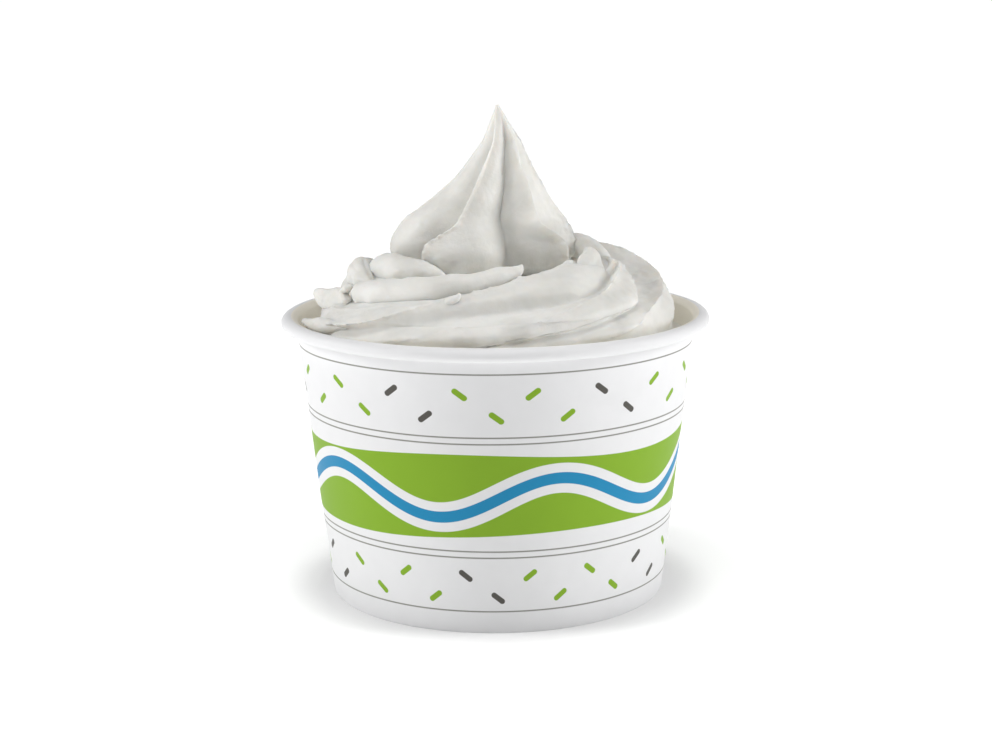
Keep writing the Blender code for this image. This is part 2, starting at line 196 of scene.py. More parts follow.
def ring_quads(rings: int, columns: int, closed: bool = False) -> np.ndarray:
    """Four corners of each face between neighbouring rings of points.

    Args:
        rings: How many rings there are.
        columns: How many points each ring has.
        closed: Whether the last ring joins the first, as on a hoop.

    Returns:
        One row of four point numbers for each face.
    """
    ring = np.arange(rings if closed else rings - 1)[:, None]
    column = np.arange(columns)[None, :]
    right = (column + 1) % columns
    above = (ring + 1) % rings
    corners = (ring * columns + column, ring * columns + right, above * columns + right, above * columns + column)
    return np.stack(np.broadcast_arrays(*corners), axis=-1).reshape(-1, 4)


def mesh_piece(name: str, vertices: np.ndarray, faces: list[list[int]]) -> bpy.types.Object:
    """Make an object from points and faces, shaded smooth and placed by its mesh alone.

    Args:
        name: The object's name.
        vertices: The points, one row each.
        faces: Point numbers of each face, anticlockwise from outside.

    Returns:
        The object.
    """
    mesh = bpy.data.meshes.new(name)
    mesh.from_pydata(vertices.tolist(), [], faces)
    mesh.shade_smooth()
    piece = bpy.data.objects.new(name, mesh)
    bpy.context.scene.collection.objects.link(piece)
    return piece


def capped_piece(name: str, rings: np.ndarray, bottom: Sequence[float], top: Sequence[float]) -> bpy.types.Object:
    """Make a closed object from a stack of rings and the two points that close it.

    Args:
        name: The object's name.
        rings: Points as (ring, column, xyz), anticlockwise from above, from the bottom upwards.
        bottom: The point that closes the first ring.
        top: The point that closes the last ring.

    Returns:
        The object.
    """
    count, columns = rings.shape[:2]
    vertices = np.vstack([rings.reshape(-1, 3), bottom, top])
    low = count * columns
    column = np.arange(columns)
    right = (column + 1) % columns
    last = (count - 1) * columns
    floor = np.stack([right, column, np.full(columns, low)], axis=-1)
    roof = np.stack([last + column, last + right, np.full(columns, low + 1)], axis=-1)
    faces = ring_quads(count, columns).tolist() + floor.tolist() + roof.tolist()
    return mesh_piece(name, vertices, faces)


# --- Finishes -----------------------------------------------------------------------------------------

@dataclass(frozen=True)
class BoardFinish:
    """Solid bleached board under a thin polyethylene film, as paper cups are made of.

    The film gives a soft sheen, the calendered board a faint mottle, and the stretched wall long
    shallow waves.
    """

    name: str
    colour: str
    roughness: float = 0.50
    fibre_size: float = 0.5 * MM      # fibres are finer than this; drawn coarse enough to show
    fibre_depth: float = 0.012 * MM
    mottle: float = 0.02              # how far the mottle darkens the board, as a share

    def paint(self, tree: bpy.types.NodeTree, base: bpy.types.NodeSocket | None) -> None:
        """Finish the shader: mottle over the base colour, and the fibres' bump.

        Args:
            tree: The material's node tree.
            base: The print's colour, or None for plain board.
        """
        shader = tree.nodes["Principled BSDF"]
        where = add_node(tree, "TexCoord").outputs["Object"]
        cloud = add_node(tree, "TexNoise", Vector=where, Scale=1 / (4 * MM), Detail=3.0)
        shade = add_node(tree, "MapRange", in0=cloud.outputs["Fac"], in1=0.3, in2=0.7, in3=1 - self.mottle, in4=1.0)
        plain = base if base is not None else linear(self.colour)
        mixed = add_node(
            tree, "Mix", {"data_type": "RGBA", "blend_type": "MULTIPLY"},
            in0=1.0, in6=plain, in7=shade.outputs["Result"],
        )
        tree.links.new(mixed.outputs[2], shader.inputs["Base Color"])
        fibre = add_node(tree, "TexNoise", Vector=where, Scale=1 / self.fibre_size, Detail=4.0, Roughness=0.6)
        bump = add_node(tree, "Bump", Height=fibre.outputs["Fac"], Distance=self.fibre_depth, Strength=1.0)
        tree.links.new(bump.outputs["Normal"], shader.inputs["Normal"])
        shader.inputs["Roughness"].default_value = self.roughness
        shader.inputs["IOR"].default_value = 1.45
        shader.inputs["Specular IOR Level"].default_value = 0.3

    def make(self) -> bpy.types.Material:
        """Make the plain, unprinted board."""
        material, tree, _ = new_material(self.name)
        self.paint(tree, None)
        return material


@dataclass(frozen=True)
class PrintedBoard:
    """The cup's outer face: offset inks under the film of the bleached board.

    The print is a green field with a white and blue wave through it, thin grey rings, and small
    slanted strokes in staggered rows.  It reads the wall's own UV map, whose U runs once round the
    cup and whose V is the height in metres.
    """

    board: BoardFinish
    girth: float                       # the wall's length round its middle
    band_low: float = 21.5 * MM
    band_high: float = 39.0 * MM
    swell: float = 1.1 * MM            # how far the band's edges rise and fall
    wave_count: int = 5                # waves round the cup
    wave_height: float = 4.2 * MM
    white_half: float = 3.3 * MM       # half widths of the two wave ribbons
    blue_half: float = 1.25 * MM
    ring_half: float = 0.16 * MM
    rings: tuple[float, ...] = (5.0 * MM, 17.2 * MM, 18.6 * MM, 42.4 * MM, 43.8 * MM, 57.4 * MM)
    stroke_columns: int = 18           # strokes in one row round the cup: whole pairs and thirds
    stroke_pitch: float = 5.0 * MM     # distance between rows
    stroke_base: float = 0.6 * MM      # height at which the first row's cells start
    stroke_half: float = 1.15 * MM     # half length without the round ends
    stroke_width: float = 0.62 * MM    # half width

    def make(self) -> bpy.types.Material:
        """Make the printed board.

        Returns:
            The material.
        """
        material, tree, _ = new_material("printed_cup_board")
        uv = add_node(tree, "SeparateXYZ", in0=add_node(tree, "UVMap", {"uv_map": "wrap"}).outputs["UV"])
        around, height = uv.outputs["X"], uv.outputs["Y"]
        band = self.band(tree, around, height)
        white = self.ribbon(tree, around, height, self.white_half)
        blue = self.ribbon(tree, around, height, self.blue_half)
        strokes, second = self.strokes(tree, around, height)
        layers = [
            (band, Ink.LEAF_GREEN.value),
            (white, self.board.colour),
            (blue, Ink.POOL_BLUE.value),
            (self.hairlines(tree, height), Ink.LINE_GREY.value),
            (strokes, Ink.LEAF_GREEN.value),
            (second, Ink.CHARCOAL.value),
        ]
        colour: Any = linear(self.board.colour)
        for mask, ink in layers:
            mix = add_node(tree, "Mix", {"data_type": "RGBA"}, in0=mask, in6=colour, in7=linear(ink))
            colour = mix.outputs[2]
        self.board.paint(tree, colour)
        return material

    def math(self, tree: bpy.types.NodeTree, operation: str, *values: Any) -> bpy.types.NodeSocket:
        """Work out one step of the print's arithmetic on sockets or numbers."""
        inputs = {f"in{number}": value for number, value in enumerate(values)}
        return add_node(tree, "Math", {"operation": operation}, **inputs).outputs[0]

    def inside(self, tree: bpy.types.NodeTree, distance: bpy.types.NodeSocket) -> bpy.types.NodeSocket:
        """1 where a signed distance is negative, with an edge as soft as 0.1 mm of ink spread."""
        edge = 0.05 * MM
        node = add_node(tree, "MapRange", in0=distance, in1=-edge, in2=edge, in3=1.0, in4=0.0)
        return node.outputs["Result"]

    def swing(
        self, tree: bpy.types.NodeTree, around: bpy.types.NodeSocket, count: float, phase: float, size: float
    ) -> bpy.types.NodeSocket:
        """A height that swings count times round the cup: size times the sine of the turn."""
        turn = self.math(tree, "MULTIPLY_ADD", around, 2 * math.pi * count, phase)
        return self.math(tree, "MULTIPLY", self.math(tree, "SINE", turn), size)

    def band(
        self, tree: bpy.types.NodeTree, around: bpy.types.NodeSocket, height: bpy.types.NodeSocket
    ) -> bpy.types.NodeSocket:
        """The green field: between two edges that swell gently and out of step."""
        low = self.math(tree, "ADD", self.swing(tree, around, 2, 0.6, self.swell), self.band_low)
        high = self.math(tree, "ADD", self.swing(tree, around, 3, 2.1, self.swell), self.band_high)
        under = self.math(tree, "SUBTRACT", low, height)
        over = self.math(tree, "SUBTRACT", height, high)
        return self.inside(tree, self.math(tree, "MAXIMUM", under, over))

    def ribbon(
        self, tree: bpy.types.NodeTree, around: bpy.types.NodeSocket, height: bpy.types.NodeSocket, half: float
    ) -> bpy.types.NodeSocket:
        """A wave ribbon: within half of a sine wave, measured square to the wave."""
        middle = (self.band_low + self.band_high) / 2
        line = self.math(tree, "ADD", self.swing(tree, around, self.wave_count, 0.0, self.wave_height), middle)
        off = self.math(tree, "ABSOLUTE", self.math(tree, "SUBTRACT", height, line))
        turn = self.math(tree, "MULTIPLY", around, 2 * math.pi * self.wave_count)
        steepest = 2 * math.pi * self.wave_count * self.wave_height / self.girth
        slope = self.math(tree, "MULTIPLY", self.math(tree, "COSINE", turn), steepest)
        stretch = self.math(tree, "SQRT", self.math(tree, "MULTIPLY_ADD", slope, slope, 1.0))
        return self.inside(tree, self.math(tree, "SUBTRACT", self.math(tree, "DIVIDE", off, stretch), half))

    def hairlines(self, tree: bpy.types.NodeTree, height: bpy.types.NodeSocket) -> bpy.types.NodeSocket:
        """The thin rings: within a hair of any of the ring heights."""
        nearest: Any = 1.0
        for ring in self.rings:
            off = self.math(tree, "ABSOLUTE", self.math(tree, "SUBTRACT", height, ring))
            nearest = self.math(tree, "MINIMUM", off, nearest)
        return self.inside(tree, self.math(tree, "SUBTRACT", nearest, self.ring_half))

    def strokes(
        self, tree: bpy.types.NodeTree, around: bpy.types.NodeSocket, height: bpy.types.NodeSocket
    ) -> tuple[bpy.types.NodeSocket, bpy.types.NodeSocket]:
        """The slanted strokes, as masks of the two inks.

        Each cell of a brick-like lattice holds one rounded bar.  The bar leans left in every other
        column, and every third column takes the second ink.

        Args:
            tree: The material's node tree.
            around: U of the wall's map.
            height: V of the wall's map.

        Returns:
            The mask of the first ink and of the second.
        """
        pitch = self.girth / self.stroke_columns
        row_place = self.math(tree, "DIVIDE", self.math(tree, "SUBTRACT", height, self.stroke_base), self.stroke_pitch)
        row = self.math(tree, "FLOOR", row_place)
        shift = self.math(tree, "MULTIPLY", row, 0.5)
        column_place = self.math(tree, "MULTIPLY_ADD", around, float(self.stroke_columns), shift)
        column = self.math(tree, "FLOOR", column_place)
        x = self.math(tree, "SUBTRACT", self.math(tree, "FRACT", column_place), 0.5)
        y = self.math(tree, "SUBTRACT", self.math(tree, "FRACT", row_place), 0.5)
        x = self.math(tree, "MULTIPLY", x, pitch)
        y = self.math(tree, "MULTIPLY", y, self.stroke_pitch)
        lean = self.math(tree, "MODULO", self.math(tree, "ADD", column, 200.0), 2.0)
        lean = self.math(tree, "MULTIPLY_ADD", lean, 2.0, -1.0)
        tilt = math.radians(38)
        across = self.math(tree, "MULTIPLY", self.math(tree, "MULTIPLY", y, math.sin(tilt)), lean)
        along = self.math(tree, "MULTIPLY_ADD", x, math.cos(tilt), across)
        back = self.math(tree, "MULTIPLY", self.math(tree, "MULTIPLY", x, -math.sin(tilt)), lean)
        side = self.math(tree, "MULTIPLY_ADD", y, math.cos(tilt), back)
        beyond = self.math(tree, "SUBTRACT", self.math(tree, "ABSOLUTE", along), self.stroke_half)
        beyond = self.math(tree, "MAXIMUM", beyond, 0.0)
        square = self.math(tree, "MULTIPLY_ADD", beyond, beyond, self.math(tree, "MULTIPLY", side, side))
        bar = self.inside(tree, self.math(tree, "SUBTRACT", self.math(tree, "SQRT", square), self.stroke_width))
        centre = self.math(tree, "MULTIPLY_ADD", row, self.stroke_pitch, self.stroke_base + self.stroke_pitch / 2)
        clear = self.math(tree, "MULTIPLY", bar, self.open_ground(tree, centre))
        third = self.math(tree, "MODULO", self.math(tree, "ADD", column, 201.0), 3.0)
        first = self.math(tree, "GREATER_THAN", third, 0.5)
        second = self.math(tree, "SUBTRACT", 1.0, first)
        return self.math(tree, "MULTIPLY", clear, first), self.math(tree, "MULTIPLY", clear, second)

    def open_ground(self, tree: bpy.types.NodeTree, centre: bpy.types.NodeSocket) -> bpy.types.NodeSocket:
        """1 for rows of strokes whose middle lies well inside the white ground above or below the band."""
        rings = self.rings
        room = self.stroke_half + self.stroke_width
        masks = []
        for low, high in ((rings[0], rings[1]), (rings[4], rings[5])):
            above = self.math(tree, "GREATER_THAN", centre, low + room)
            masks.append(self.math(tree, "MULTIPLY", above, self.math(tree, "LESS_THAN", centre, high - room)))
        return self.math(tree, "ADD", *masks)


@dataclass(frozen=True)
class YogurtFinish:
    """Soft-serve frozen yogurt: white, matt to satin, with light that soaks in a little.

    Fine ice crystals give the surface a tight grain, and the nozzle drags faint cloudy streaks.
    """

    colour: str = "#EBEAE6"
    deep: str = "#E0DFDA"
    roughness: float = 0.46
    grain: float = 0.9 * MM            # ice crystals are finer; drawn coarse enough to show
    grain_depth: float = 0.10 * MM
    soak: float = 1.5 * MM             # how far light travels inside

    def make(self) -> bpy.types.Material:
        """Make the yogurt.

        Returns:
            The material.
        """
        material, tree, shader = new_material("soft_serve_yogurt")
        where = add_node(tree, "TexCoord").outputs["Object"]
        cloud = add_node(tree, "TexNoise", Vector=where, Scale=1 / (7 * MM), Detail=3.0)
        tone = add_node(tree, "MapRange", in0=cloud.outputs["Fac"], in1=0.35, in2=0.65)
        colour = add_node(
            tree, "Mix", {"data_type": "RGBA"},
            in0=tone.outputs["Result"], in6=linear(self.deep), in7=linear(self.colour),
        )
        tree.links.new(colour.outputs[2], shader.inputs["Base Color"])
        fine = add_node(tree, "TexNoise", Vector=where, Scale=1 / self.grain, Detail=3.0, Roughness=0.65)
        bump = add_node(tree, "Bump", Height=fine.outputs["Fac"], Distance=self.grain_depth, Strength=1.0)
        tree.links.new(bump.outputs["Normal"], shader.inputs["Normal"])
        shader.inputs["Roughness"].default_value = self.roughness
        shader.inputs["IOR"].default_value = 1.35
        shader.inputs["Subsurface Weight"].default_value = 0.6
        shader.inputs["Subsurface Radius"].default_value = (1.0, 0.85, 0.7)
        shader.inputs["Subsurface Scale"].default_value = self.soak
        return material


# --- Cup ----------------------------------------------------------------------------------------------

@dataclass
class PaperCup:
    """The side wall: one ply that rolls outwards at the rim and folds up inside the foot."""

    outside: PrintedBoard | None = None
    rim_radius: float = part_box("cup_wall")[1][0]
    top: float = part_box("cup_wall")[1][2]
    bead_height: float = 3.0 * MM
    wall_top_radius: float = 44.7 * MM
    foot_radius: float = 37.7 * MM
    ply: float = 0.5 * MM
    gap: float = 0.3 * MM
    hem: float = 6.0 * MM
    seam_azimuth: float = 158.0          # the side seam stands at the back
    seam_step: float = 0.35 * MM         # the outer end of the ply stands this far proud
    seam_width: float = 7.0 * MM
    columns: int = 420

    @property
    def bead_z(self) -> float:
        """Height of the bead's middle."""
        return self.top - self.bead_height / 2

    def outer(self, z: np.ndarray | float) -> np.ndarray | float:
        """Radius of the outer face at a height: a straight cone."""
        return self.foot_radius + (self.wall_top_radius - self.foot_radius) * z / self.bead_z

    def bead(self, first: float, last: float, count: int) -> np.ndarray:
        """An arc of the bead's ellipse, from one angle to another in degrees from outwards."""
        inner = self.outer(self.bead_z) - self.ply
        half = (self.rim_radius - inner) / 2
        angle = np.radians(np.linspace(first, last, count))
        return np.stack([inner + half + half * np.cos(angle), self.bead_z + self.bead_height / 2 * np.sin(angle)], -1)

    def face(self, low: float, high: float, inset: float, count: int) -> np.ndarray:
        """A straight run of the section between two heights, set in from the outer face."""
        z = np.linspace(low, high, count)
        return np.stack([self.outer(z) - inset, z], -1)

    def corner(self, radius: float, z: float) -> np.ndarray:
        """One point of the section."""
        return np.array([[radius, z]])

    def section(self) -> tuple[np.ndarray, np.ndarray]:
        """The ply's closed section, anticlockwise, and which face of the board each point is on.

        Returns:
            Rows of radius and height, and True where the point is on the cup's inner face.
        """
        channel = self.ply + 2 * self.gap
        hem_outer = self.ply + channel
        hem_inner = hem_outer + self.ply
        round_off = 0.4 * self.ply
        outside = [
            self.corner(self.foot_radius - hem_inner + round_off, 0.0),
            self.corner(self.foot_radius - round_off, 0.0),
            self.corner(self.foot_radius - round_off * 0.3, round_off * 0.4),
            self.face(self.ply, 60.6 * MM, 0.0, 60),
            self.bead(-150, 96, 50),
        ]
        inside = [
            self.bead(102, 180, 14),
            self.face(self.bead_z - 1.0 * MM, self.ply, self.ply, 40),
            self.face(self.ply, self.hem, hem_outer, 6),
            self.face(self.hem, self.ply, hem_inner, 6),
        ]
        points = np.vstack(outside + inside)
        count_outside = sum(len(run) for run in outside)
        return points, np.arange(len(points)) >= count_outside

    def build(self) -> bpy.types.Object:
        """Turn the section round the axis, with the side seam and the board's slight unevenness.

        The radius grows by the seam's step, which starts sharply at the seam and dies away along
        the overlap, and by a few hundredths of a millimetre of slow ripple.

        Returns:
            The cup's wall.
        """
        section, inner = self.section()
        azimuth = np.linspace(0, 360, self.columns, endpoint=False)
        radius = np.repeat(section[:, :1], self.columns, axis=1)
        height = np.repeat(section[:, 1:], self.columns, axis=1)
        past = np.radians((azimuth - self.seam_azimuth) % 360) * self.wall_top_radius
        proud = self.seam_step * smoothstep(0, 0.35 * MM, past) * (1 - smoothstep(0.4, 1.0, past / self.seam_width))
        radius = radius + np.where(inner[:, None], 0.0, proud)
        points = at_azimuth(azimuth, radius, height)
        slow = ripple(at_azimuth(azimuth, np.full_like(radius, self.foot_radius), height), 26 * MM, seed=3)
        settle = smoothstep(0, 12 * MM, height)
        points = at_azimuth(azimuth, radius + 0.045 * MM * slow * settle, height)
        quads = ring_quads(len(section), self.columns, closed=True)
        piece = mesh_piece("cup_wall_board", points.reshape(-1, 3), quads.tolist())
        self.wrap_map(piece, quads, section[:, 1])
        flags = np.repeat(inner & np.roll(inner, -1), self.columns)
        piece.data.polygons.foreach_set("material_index", flags.astype(np.int32))
        return piece

    def wrap_map(self, piece: bpy.types.Object, quads: np.ndarray, heights: np.ndarray) -> None:
        """Give the wall a UV map: U is the share of the way round, V the height in metres.

        Args:
            piece: The wall.
            quads: Its faces.
            heights: Height of each ring of its section.
        """
        ring, column = np.divmod(quads, self.columns)
        column = np.where((column == 0) & (np.roll(column, 2, axis=1) == self.columns - 1), self.columns, column)
        last = (quads % self.columns == self.columns - 1).any(axis=1, keepdims=True)
        column = np.where(last & (column == 0), self.columns, column)
        flat = np.stack([column / self.columns, heights[ring]], axis=-1)
        piece.data.uv_layers.new(name="wrap").data.foreach_set("uv", flat.reshape(-1).astype(np.float32))

    def dress(self, piece: bpy.types.Object) -> None:
        """Put the printed board outside and the plain cream board inside."""
        white = BoardFinish("bleached_board", "#EDEDEE")
        girth = 2 * math.pi * (self.foot_radius + self.wall_top_radius) / 2
        piece.data.materials.append(PrintedBoard(white, girth).make())
        piece.data.materials.append(BoardFinish("cream_inner_board", "#FBF6E9", roughness=0.40).make())
        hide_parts("cup_wall")
        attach(piece, "root")

    def make(self) -> bpy.types.Object:
        """Build and dress the wall."""
        piece = self.build()
        self.dress(piece)
        return piece


@dataclass
class CupBase:
    """The raised base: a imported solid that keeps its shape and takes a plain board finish."""

    node: str = "cup_base"

    def make(self) -> bpy.types.Object:
        """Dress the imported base."""
        piece = bpy.data.objects[self.node]
        piece.data.materials.clear()
        piece.data.materials.append(BoardFinish("base_board", "#E6E3DA", roughness=0.5).make())
        return piece


# --- Swirl --------------------------------------------------------------------------------------------

class Section(NamedTuple):
    """The mound's half section at one azimuth, in mm."""

    outer: float         # radius where it leans away from the wall
    floor: float         # height there
    ring: float          # radius where it is highest
    top: float           # height there
    slack: float         # how far the slope sags inwards, as a share; below 0 it bulges


class Rib(NamedTuple):
    """One rib of the coiled rope, and the valley on its lower side."""

    path: tuple[tuple[float, float], ...]    # azimuth in degrees, and climb from wall (0) to crest (1)
    crest: float         # height of the rib above the mound's mean surface, in mm
    valley_low: float    # depth of the valley near the wall, in mm
    valley_high: float   # depth of the valley near the crest, in mm
    skew_low: float      # where the valley is deepest near the wall, from this rib (0) to the next one (1)
    skew_high: float     # and near the crest


@dataclass
class SwirlMound:
    """The body of yogurt: it fills the cup and rises into a mound of climbing ribs."""

    sections: tuple[Section, ...] = (        # one every 45 degrees, from the back
        Section(42.0, 60.0, 21.5, 76.0, 0.00),
        Section(41.0, 60.0, 21.5, 73.5, 0.00),
        Section(38.8, 60.8, 22.0, 72.6, 0.00),
        Section(43.2, 62.0, 22.5, 73.4, 0.30),
        Section(44.0, 62.8, 24.0, 74.0, 0.50),
        Section(43.6, 62.4, 26.5, 75.0, 0.15),
        Section(38.6, 60.2, 24.5, 74.8, -0.35),
        Section(40.4, 60.0, 21.0, 76.2, -0.10),
    )
    ribs: tuple[Rib, ...] = (
        Rib(((-118, 0), (-98, 0.13), (-72, 0.27), (-45, 0.38), (-31, 0.44), (-22, 0.50), (-8, 0.64),
             (9, 0.82), (26, 1)), 0.5, 0.6, 0.3, 0.50, 0.50),
        Rib(((-86, 0), (-59, 0.125), (-41, 0.21), (-28, 0.36), (-13, 0.53), (2, 0.69), (14.5, 0.82),
             (34, 1)), 1.7, 2.2, 2.8, 0.35, 0.86),
        Rib(((-36, 0), (-24.5, 0.08), (-11, 0.205), (1.5, 0.235), (12, 0.25), (29.5, 0.43), (44, 0.62),
             (56, 0.78), (74, 1)), 1.5, -0.4, 0.2, 0.50, 0.50),
        Rib(((-6, 0), (8, 0.10), (22.5, 0.175), (38, 0.29), (46.5, 0.36), (50, 0.48), (56, 0.68),
             (66, 0.84), (82, 1)), 1.0, 1.2, 4.8, 0.30, 0.25),
        Rib(((29, 0), (42, 0.14), (47, 0.23), (56.5, 0.33), (64, 0.39), (74, 0.48), (88, 0.57),
             (106, 0.74), (134, 1)), 1.6, 1.0, 2.0, 0.40, 0.45),
        Rib(((56, 0), (66, 0.12), (80, 0.30), (98, 0.50), (120, 0.75), (158, 1)), 1.0, 1.6, 2.4, 0.60, 0.60),
        Rib(((96, 0), (118, 0.30), (150, 0.65), (192, 1)), 1.2, 2.0, 2.6, 0.60, 0.60),
        Rib(((138, 0), (160, 0.30), (192, 0.65), (230, 1)), 1.0, 1.8, 2.4, 0.55, 0.55),
        Rib(((176, 0), (200, 0.30), (232, 0.65), (270, 1)), 1.2, 2.0, 2.4, 0.55, 0.55),
        Rib(((210, 0), (236, 0.30), (270, 0.65), (314, 1)), 1.2, 1.8, 1.6, 0.50, 0.50),
    )
    rib_spacing: float = 4.0             # the least distance between two ribs, in degrees
    dish_radius: float = 13.0 * MM
    dish_z: float = 72.0 * MM
    fill_top: float = 57.8 * MM
    columns: int = 62                    # columns of faces between two ribs
    rows: int = 120

    def section(self, azimuth: np.ndarray) -> tuple[np.ndarray, ...]:
        """Outer radius, floor, crest radius and top at each azimuth in metres, and the slack.

        They run as closed Catmull-Rom curves through the given sections.
        """
        count = len(self.sections)
        rows = np.array(self.sections * 3) * (MM, MM, MM, MM, 1)
        place = (azimuth.ravel() + 180) % 360 / (360 / count) + count
        return tuple(column.reshape(azimuth.shape) for column in smooth_line(rows, place).T)

    def rib_turns(self, climb: np.ndarray) -> np.ndarray:
        """Azimuth of each rib at each climb, as (ring, rib), with the first rib once more at the end."""
        turns = []
        for rib in self.ribs:
            line = smooth_line(rib.path, np.linspace(0, len(rib.path) - 1, 200))
            turns.append(np.interp(climb, line[:, 1], line[:, 0]))
        for number in range(1, len(turns)):
            turns[number] = np.maximum(turns[number], turns[number - 1] + self.rib_spacing)
        return np.stack(turns + [turns[0] + 360], axis=-1)

    def surface(self, climb: np.ndarray, cup: PaperCup) -> tuple[np.ndarray, np.ndarray]:
        """The mound's ribbed face.

        A point's column keeps its share of the way between two ribs, so the columns climb round
        the mound as the ribs do.  The mean surface is a quarter ellipse that sags or bulges, and a point
        stands off it along the ellipse's normal by the rib's crest less the valley's depth, which
        follows half a sine wave pushed towards one rib.

        Args:
            climb: 0 at the wall to 1 at the crest, one value a ring.
            cup: The cup that holds the mound.

        Returns:
            Points as (ring, column, xyz), and each column's share of the way between its ribs.
        """
        traits = np.array([rib[1:] for rib in self.ribs + self.ribs[:1]])
        even = np.arange(self.columns) / self.columns
        share = np.tile((1 - np.cos(math.pi * even)) / 2, len(self.ribs))
        index = np.repeat(np.arange(len(self.ribs)), self.columns)
        turns = self.rib_turns(climb)
        azimuth = turns[:, index] * (1 - share) + turns[:, index + 1] * share
        climb = climb[:, None]
        crest, low, high, skew_low, skew_high = traits.T
        crest = crest[index] * (1 - share) + crest[index + 1] * share

        outer, floor, ring, top, slack = self.section(azimuth)
        slope = climb * math.pi / 2
        upper = smoothstep(0.2, 0.6, climb)
        skew = skew_low[index] + (skew_high - skew_low)[index] * upper
        wave = np.sin(math.pi * share ** (math.log(0.5) / np.log(skew)))
        depth = low[index] + (high - low)[index] * upper
        stand = (crest - depth * wave) * MM * smoothstep(0.0, 0.14, climb)
        reach = np.cos(slope) - slack * climb * (1 - climb)
        radius = ring + (outer - ring) * reach + stand * np.cos(slope)
        height = floor + (top - floor) * np.sin(slope) + stand * np.sin(slope)
        limit = cup.outer(height) - cup.ply - 0.05 * MM
        radius = np.where(height < cup.top, np.minimum(radius, limit), radius)
        return at_azimuth(azimuth, radius, height), share

    def roughen(self, rings: np.ndarray, share: np.ndarray) -> np.ndarray:
        """Uneven the face: slow swells everywhere, and a torn, grainy edge along each rib."""
        edge = np.exp(-((np.minimum(share, 1 - share) / 0.05) ** 2))
        lift = 0.12 * MM * ripple(rings, 9 * MM, seed=11)
        lift += 0.04 * MM * ripple(rings, 2.4 * MM, seed=12)
        lift += edge * 0.09 * MM * ripple(rings, 1.3 * MM, seed=13)
        return rings + outward_normals(rings) * lift[..., None]

    def build(self, cup: PaperCup) -> bpy.types.Object:
        """Stack the rings from the cup's base to the dish that the peak sits in.

        Args:
            cup: The cup that holds the mound.

        Returns:
            The mound.
        """
        face, share = self.surface(np.linspace(0, 1, self.rows + 1), cup)
        face = self.roughen(face, share)
        start = np.degrees(np.arctan2(face[0, :, 0], -face[0, :, 1]))
        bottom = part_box("frozen_yogurt")[0][2]
        inset = cup.ply + 0.05 * MM
        rings = [
            at_azimuth(start, cup.outer(bottom) - inset, bottom),
            at_azimuth(start, cup.outer(self.fill_top) - inset, self.fill_top),
        ]
        rings += list(face)
        top = face[-1]
        azimuth = np.degrees(np.arctan2(top[:, 0], -top[:, 1]))
        radius = np.hypot(top[:, 0], top[:, 1])
        for step in np.linspace(0, 1, 15)[1:]:
            rings.append(
                at_azimuth(
                    azimuth + 8 * step,
                    radius + (self.dish_radius - radius) * step,
                    top[:, 2] + (self.dish_z - top[:, 2]) * smoothstep(0, 1, step),
                )
            )
        return capped_piece("yogurt_mound", np.array(rings), (0, 0, bottom), (0, 0, self.dish_z))


class Ridge(NamedTuple):
    """One ridge of the star-shaped peak, and the valley on its right."""

    azimuth: float       # in degrees, on the upper part of the peak
    spread: float        # how far it has turned at the skirt, in degrees
    reach: float         # its radius as a share of the outline's
    neck: float          # how much narrower it is just above the skirt, as a share
    valley: float        # the valley's radius as a share of the outline's
    skew: float          # where the valley is deepest, from this ridge (0) to the next one (1)
    crease: float        # 0 for a round valley, 1 for a sharp V


